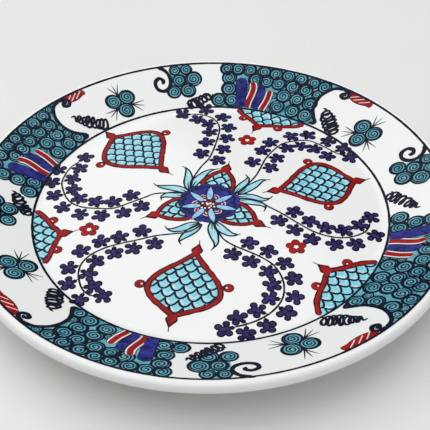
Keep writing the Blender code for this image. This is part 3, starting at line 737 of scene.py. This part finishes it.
def centre_medallion(number, direction):
    """A half medallion that stands behind the rosette."""
    flanks = [smooth(place([(u, v * sign) for u, v in CENTRE_FLANK], CROWN, direction)) for sign in (1, -1)]
    paint = Paint()
    scales(paint, flanks[1] + flanks[0][::-1], CROWN, direction)
    for flank in flanks:
        red_line(paint, flank, FRAME - 0.3)
    spear(paint, reach(CROWN, CENTRE_FLANK[-1][0] - 0.5, direction), direction)
    paint.piece(f"centre_medallion_{number}", f"centre_medallion_{number}")


def crown_point(radius, degrees):
    """A point on the ring of the rosette's lobes, which is wider than it is deep."""
    return reach(CROWN, radius + 0.8 * math.cos(math.radians(degrees)) ** 2, degrees)


def rosette():
    """The centre flower: cobalt lobes, light petals between them, red hooks, and a speckled heart."""
    paint = Paint()
    tips = sorted(bearing(CROWN, tip) for tip in PETAL_TIPS)
    gaps = list(zip(tips, [*tips[1:], tips[0] + 360]))
    for grow, colour, level in ((0.6, "navy", BLOOM), (0.0, "cobalt", BLOOM + 0.02)):
        paint.dab(CROWN, 11.8 + grow, colour, level)
        for tip, after in gaps:
            for share in (0.26, 0.74):
                lobe = crown_point(13.0, tip + (after - tip) * share)
                paint.dab(lobe, 5.2 + grow, colour, level + 0.003)
    for tip, after in gaps:
        middle = (tip + after) / 2
        for turn in (middle - 13, middle + 13):
            bud = crown_point(12.2, turn)
            fold = [reach(bud, 3.4, turn + i) for i in range(-80, 81, 20)]
            paint.stroke(fold, 1.0, "navy", BLOOM + 0.05, start=2.0, end=2.0)
        hook = smooth([reach(ROSETTE, radius, middle + turn) for radius, turn in HOOK_POINTS])
        paint.stroke(hook, 2.4, "white", BLOOM + 0.05, rise=0.02)
        paint.stroke(hook, 1.5, "red", BLOOM + 0.08)
    for tip in PETAL_TIPS:
        path = smooth([reach(ROSETTE, 4.0, bearing(ROSETTE, tip)), tip])
        paint.wash(blade(path, 5.0, 0.85), "navy", BLOOM + 0.10)
        paint.wash(blade(path[:-1], 3.6, 0.85), "pale_blue", BLOOM + 0.12)
    paint.dab(ROSETTE, 5.4, "dark_red", BLOOM + 0.14)
    for i in range(21):
        speck = reach(ROSETTE, 0.8 + 4.2 * (i % 5) / 4, 53.0 * i)
        paint.dab(speck, 0.75, ("white", "white", "red")[i % 3], BLOOM + 0.16 + 0.002 * i)
    paint.piece("rosette", "rosette")


def leaf_pair(number, leaves):
    """Two leaves: an aqua wash between brushed edges that run on into a curled tip."""
    paint = Paint()
    for route in leaves:
        path = smooth(route, 1.0)
        body = path[:int(len(path) * 0.88)]
        outline = blade(body, LEAF_WIDTH, 0.8)
        paint.wash(outline, "aqua")
        half = len(body) - 1
        right, left = outline[:half + 1], outline[half:] + outline[:1]
        for edge in (right, left[::-1]):
            paint.stroke([*edge, *path[len(body):]], HAIR, "navy", start=0.8, end=4.0)
        paint.stroke(path[:int(len(path) * 0.35)], 0.9, "navy", end=5.0)
    paint.piece(f"leaf_pair_{number}", f"leaf_pair_{number}")


def blossom(paint, stalk, direction):
    """A small blossom: dark round lobes in two pairs, each with a violet heart."""
    for i, (u, v, radius) in enumerate(BLOSSOM_LOBES):
        at = place([(u * BLOSSOM_SIZE, v * BLOSSOM_SIZE)], stalk, direction)[0]
        radius *= BLOSSOM_SIZE + 0.25 * noise.noise(Vector((*at, 1.0)))
        paint.dab(at, radius, "navy", WASH + 0.002 * i)
        if i > 0:
            paint.dab(at, radius * 0.55, "violet", WASH + 0.03 + 0.002 * i)


def sprig(number, route, first_right, first_left):
    """A curved stem with blossoms on both sides and one on its tip."""
    path = smooth(route)
    along = lengths(path)
    paint = Paint()
    paint.stroke(path, 1.15, "navy", start=3.0, end=3.0)
    for side, first in ((-1, first_right), (1, first_left)):
        stem = [point for point, run in zip(path, along) if run >= first]
        track = lengths(beside(stem, side * BLOSSOM_TRACK))
        for i in range(int((track[-1] - 6.0) / BLOSSOM_SPACING) + 1):
            root, heading = at_length(stem, track, i * BLOSSOM_SPACING)
            lean = heading + side * (90 - BLOSSOM_LEAN)
            neck = reach(root, BLOSSOM_REACH, lean)
            paint.stroke(smooth([root, reach(neck, 1.0, lean)], 0.6), 0.7, "navy")
            tilt = 25 * noise.noise(Vector((first + i, number, side)))
            blossom(paint, neck, lean + tilt)
    blossom(paint, path[-1], bearing(path[-2], path[-1]))
    paint.piece(f"blossom_sprig_{number}", f"blossom_sprig_{number}")


def red_flower(number, centre):
    """A small red flower of five round lobes."""
    paint = Paint()
    for i in range(5):
        lobe = reach(centre, 3.8, 72 * i + 20)
        paint.dab(lobe, 2.6, "dark_red", WASH + 0.003 * i)
        paint.dab(lobe, 2.2, "red", WASH + 0.05 + 0.003 * i)
    paint.piece(f"red_flower_{number}", f"red_flower_{number}")


# ---- motifs on the rim


def scroll(paint, centre, radius, turn, way=1):
    """A round scroll: a teal disc, a ring round it and a spiral line that winds in from the ring."""
    size = min(1.0, radius / 4.4)
    turns = (radius - 0.5) / (SCROLL_PITCH * size)
    count = max(8, int(turns * 16))
    spiral = [polar(radius - (radius - 0.5) * i / count, turn + way * 360 * turns * i / count)
              for i in range(count + 1)]
    paint.wash(ring(centre, radius)[:-1], "teal")
    paint.stroke(ring(centre, radius, turn, 1.05), SCROLL_RING * size, "navy")
    paint.stroke(place(spiral, centre, 0), SCROLL_LINE * size, "navy")


def edge_gap(spot, outline):
    """How far the spot lies inside the outline, and less than nothing when it lies outside."""
    gap = min(math.dist(spot, corner) for corner in outline)
    return gap if inside(spot, outline) else -gap


def ring_room(spot):
    """The radius of a disc here that just touches the well line or the outer line."""
    radius = math.hypot(*spot)
    return min(OUTER_LINE - radius, radius - WELL_LINE) + 0.2


def packed(outline, taken, largest, smallest=2.2):
    """The discs with, in the space that they leave inside the outline, smaller and smaller ones."""
    discs = list(taken)
    (x0, x1), (y0, y1) = ((min(values), max(values)) for values in zip(*outline))
    grid = [(x, y) for x in range(int(x0), int(x1)) for y in range(int(y0), int(y1))]
    spots = [(spot, min(edge_gap(spot, outline) + 0.9, ring_room(spot))) for spot in grid]
    radius = largest
    while radius >= smallest:
        for spot, room in spots:
            if room > radius and all(math.dist(spot, at) > radius + other - 0.5 for at, other in discs):
                discs.append((spot, radius))
        radius -= 0.4
    return discs


def bar_spots(bars):
    """Discs that cover the bars, so that no scroll is put there."""
    spots = []
    for route, width, _ in BARS:
        spots += [(point, width / 2 - 0.5) for point in smooth(rim_points(route, bars), 2.0)]
    return spots


def panel(number, bars, spur):
    """The scroll panel, its spur and dark scroll."""
    paint = Paint()
    ground = [
        *rim_arc(OUTER_LINE - 0.3, spur - 1.2, bars + 9.8),
        *smooth(rim_points(((138, 10.6), (131.8, 8.8), (121.7, 8.7), (114.0, 11.0)), bars), 2.0),
        *rim_arc(WELL_LINE + 0.3, bars + 12.4, spur + 1.8),
        *smooth(rim_points(SPUR, spur), 1.5)[2:],
    ]
    paint.wash(ground, "teal")
    drawn = []
    for radius, turns in SCROLL_ROWS:
        room = min(SCROLL_RADIUS, ring_room((radius, 0)))
        spots = [(polar(radius, bars + turn), turn) for turn in turns]
        drawn += [(at, room) for at, turn in spots if turn > -12 or edge_gap(at, ground) > room - 1.6]
    blocked = bar_spots(bars)
    for i, (at, radius) in enumerate(packed(ground, drawn + blocked, SCROLL_RADIUS)):
        if (at, radius) not in blocked:
            scroll(paint, at, radius, 77 * i, 1 if i % 2 else -1)
    paint.stroke(smooth(rim_points(SPUR, spur)), 2.5, "navy", LINE + 0.06, start=3.0, end=0.5)
    paint.stroke(smooth(rim_points(SPUR_SCROLL, spur)), 2.6, "navy", LINE + 0.06, start=0.6, end=1.5)
    paint.piece(f"scroll_panel_{number}", f"scroll_panel_{number}")


def bar_fan(number, bars):
    """Four bars, blue and red by turns, the red ones edged with white."""
    paint = Paint()
    for route, width, colour in BARS:
        path = smooth(rim_points(route, bars), 1.5)
        paint.wash(bar(path, width + (2.8 if colour == "red" else 1.2)), "navy", WASH + 0.16)
        if colour == "red":
            paint.wash(bar(path, width + 1.7), "white", WASH + 0.18)
        paint.wash(bar(path, width), colour, WASH + 0.20)
    paint.piece(f"bar_fan_{number}", f"bar_fan_{number}")


def finial(number, spur, long):
    """The red finial beyond the spur's scroll, this long, with white stripes across it."""
    paint = Paint()
    path = smooth(rim_points([(radius, turn * long) for radius, turn in FINIAL], spur), 1.0)
    paint.wash(blade(path, 6.9, 0.8, 0.6), "dark_red")
    paint.wash(blade(path, 5.7, 0.8, 0.6), "red", WASH + 0.04)
    for turn in FINIAL_STRIPES:
        stripe = rim_points(((139.0, turn * long + 1.3), (143.4, turn * long - 1.3)), spur)
        paint.stroke(smooth(stripe), 0.6, "white")
    paint.piece(f"red_finial_{number}", f"red_finial_{number}")


def scribble(name, ends, loops, width, *nodes):
    """A quick loop scribble from one end to the other, with a loose tail."""
    length = math.dist(*ends)
    path = []
    for i in range(loops * 14 + 1):
        t = i / (loops * 14)
        swing = 2 * math.pi * loops * t
        stray = noise.noise(Vector((i / 7, length, width)))
        size = width * (0.75 + 0.35 * math.sin(math.pi * t) + 0.5 * stray) * (1 - 0.3 * t)
        path.append((length * 0.9 * t + 1.8 * math.sin(swing) + 1.5 * stray, size * math.cos(swing)))
    path += [(length * 0.96, -1.2), (length * 1.06, 0.6)]
    paint = Paint()
    paint.stroke(smooth(place(path, ends[0], bearing(*ends)), 1.0), 1.75, "navy", start=1.5, end=3.0)
    paint.piece(name, *nodes)


def trefoil(number, direction):
    """Three scrolls that touch, with a bunch of whiskers from each gap between them."""
    paint = Paint()
    centre = polar(TREFOIL_RADIUS, direction)
    for i in range(3):
        turn = direction + 62 + 120 * i
        scroll(paint, reach(centre, TREFOIL_SCROLL * 1.16, turn), TREFOIL_SCROLL, turn + 180)
        for spread in (-16, 0, 16):
            way = turn + 60
            whisker = [reach(centre, radius, way + spread * share) for radius, share in WHISKER]
            paint.stroke(smooth(whisker), 0.8, "navy", start=0.5, end=6.0)
    paint.piece(f"scroll_trefoil_{number}", f"scroll_trefoil_{number}")


def cloud(number, direction, sizes):
    """A heap of scrolls under the outer line with a thick hooked line beside it, grown to these sizes."""
    paint = Paint()
    ground = place(CLOUD_GROUND, (0, 0), direction)
    paint.wash(ground, "teal")
    for i, (out, over, radius) in enumerate(CLOUD):
        at = place([(out, over)], (0, 0), direction)[0]
        scroll(paint, at, radius, 100 * i, 1 if i % 2 else -1)
    hook = [[c + (p - c) * size for p, c, size in zip(point, HOOK_CORNER, sizes)] for point in HOOK]
    paint.stroke(smooth(place(hook, (0, 0), direction)), 2.7, "navy", start=3.0, end=1.5)
    paint.piece(f"scroll_cloud_{number}", f"scroll_cloud_{number}")


def ring_line(name, radius):
    """A black line brushed round the plate on the turning wheel."""
    paint = Paint()
    paint.stroke(ring((0, 0), radius, 20, 1.004, step=1.0), RING_LINE, "navy")
    paint.piece(name, name)


def add_painting():
    ring_line("well_line", WELL_LINE)
    ring_line("outer_line", OUTER_LINE)
    for number, shape in enumerate(MEDALLIONS, 1):
        medallion(number, *shape)
    for number, shape in enumerate(EDGE_MEDALLIONS, 1):
        edge_medallion(number, *shape)
    for number, direction in enumerate(CENTRE_MEDALLIONS, 1):
        centre_medallion(number, direction)
    rosette()
    for number in range(1, 7):
        leaf_pair(number, LEAVES[2 * number - 2:2 * number])
    for number, shape in enumerate(SPRIGS, 1):
        sprig(number, *shape)
    for number, centre in enumerate(FLOWERS, 1):
        red_flower(number, centre)
    for number, (bars, spur, long_ends, short_ends, trefoil_at, cloud_at) in enumerate(RIM_ROUNDS, 1):
        panel(number, bars, spur)
        bar_fan(number, bars)
        finial(number, spur, FINIAL_REACHES[number - 1])
        scribble(f"scribble_{number}", long_ends, 7, 4.8, f"scribble_{number}")
        scribble(f"short_scribble_{number}", short_ends, 6, 3.8)
        trefoil(number, trefoil_at)
        cloud(number, cloud_at, HOOK_SIZES[number - 1])


# ---- stage


def add_floor():
    tree, shader, where = nodes_of("studio floor")
    patches = noise_node(tree, where, 3.0, 3.0)
    tint = ramp(tree, patches, ((0.3, (0.78, 0.77, 0.75)), (0.7, (0.82, 0.81, 0.79))))
    tree.links.new(tint, shader.inputs["Base Color"])
    shader.inputs["Roughness"].default_value = 0.9
    mesh = bpy.data.meshes.new("floor")
    mesh.from_pydata([(-8, -8, 0), (8, -8, 0), (8, 8, 0), (-8, 8, 0)], [], [(0, 1, 2, 3)])
    mesh.materials.append(bpy.data.materials["studio floor"])
    floor = bpy.data.objects.new("floor", mesh)
    bpy.context.scene.collection.objects.link(floor)


def add_light(name, spot, size, power, colour=(1, 1, 1)):
    """A square soft light that faces the plate."""
    lamp = bpy.data.lights.new(name, "AREA")
    lamp.size = size
    lamp.energy = power
    lamp.color = colour
    light = bpy.data.objects.new(name, lamp)
    light.location = spot
    light.rotation_euler = (-Vector(spot)).to_track_quat("-Z", "Y").to_euler()
    bpy.context.scene.collection.objects.link(light)


def add_lights():
    add_light("key", (-0.4, 0.35, 1.6), 2.8, 36)
    add_light("fill", (0.7, -0.9, 1.1), 1.2, 3, (0.97, 0.98, 1.0))
    world = bpy.data.worlds.new("studio")
    world.use_nodes = True
    background = world.node_tree.nodes["Background"]
    background.inputs["Color"].default_value = (0.95, 0.97, 1.0, 1.0)
    background.inputs["Strength"].default_value = 0.30
    bpy.context.scene.world = world


def add_camera():
    """The photograph's view: 41 degrees up, and so close that the plate overruns the frame's sides."""
    elevation = math.radians(41.35)
    roll = math.radians(-0.77)
    distance = 0.5337
    target = Vector((0.0026, -0.0226, 0.0300))
    right = Vector((1, 0, 0))
    up = Vector((0, math.sin(elevation), math.cos(elevation)))
    forward = Vector((0, math.cos(elevation), -math.sin(elevation)))
    tilted_right = right * math.cos(roll) + up * math.sin(roll)
    tilted_up = up * math.cos(roll) - right * math.sin(roll)
    lens = bpy.data.cameras.new("camera")
    lens.lens = 76.0
    camera = bpy.data.objects.new("camera", lens)
    turn = Matrix((tilted_right, tilted_up, -forward)).transposed()
    camera.matrix_world = Matrix.Translation(target - forward * distance) @ turn.to_4x4()
    bpy.context.scene.collection.objects.link(camera)
    bpy.context.scene.camera = camera
    bpy.context.scene.view_settings.view_transform = "Standard"


add_finishes()
add_ware()
add_painting()
add_floor()
add_lights()
add_camera()

bpy.context.view_layer.update()
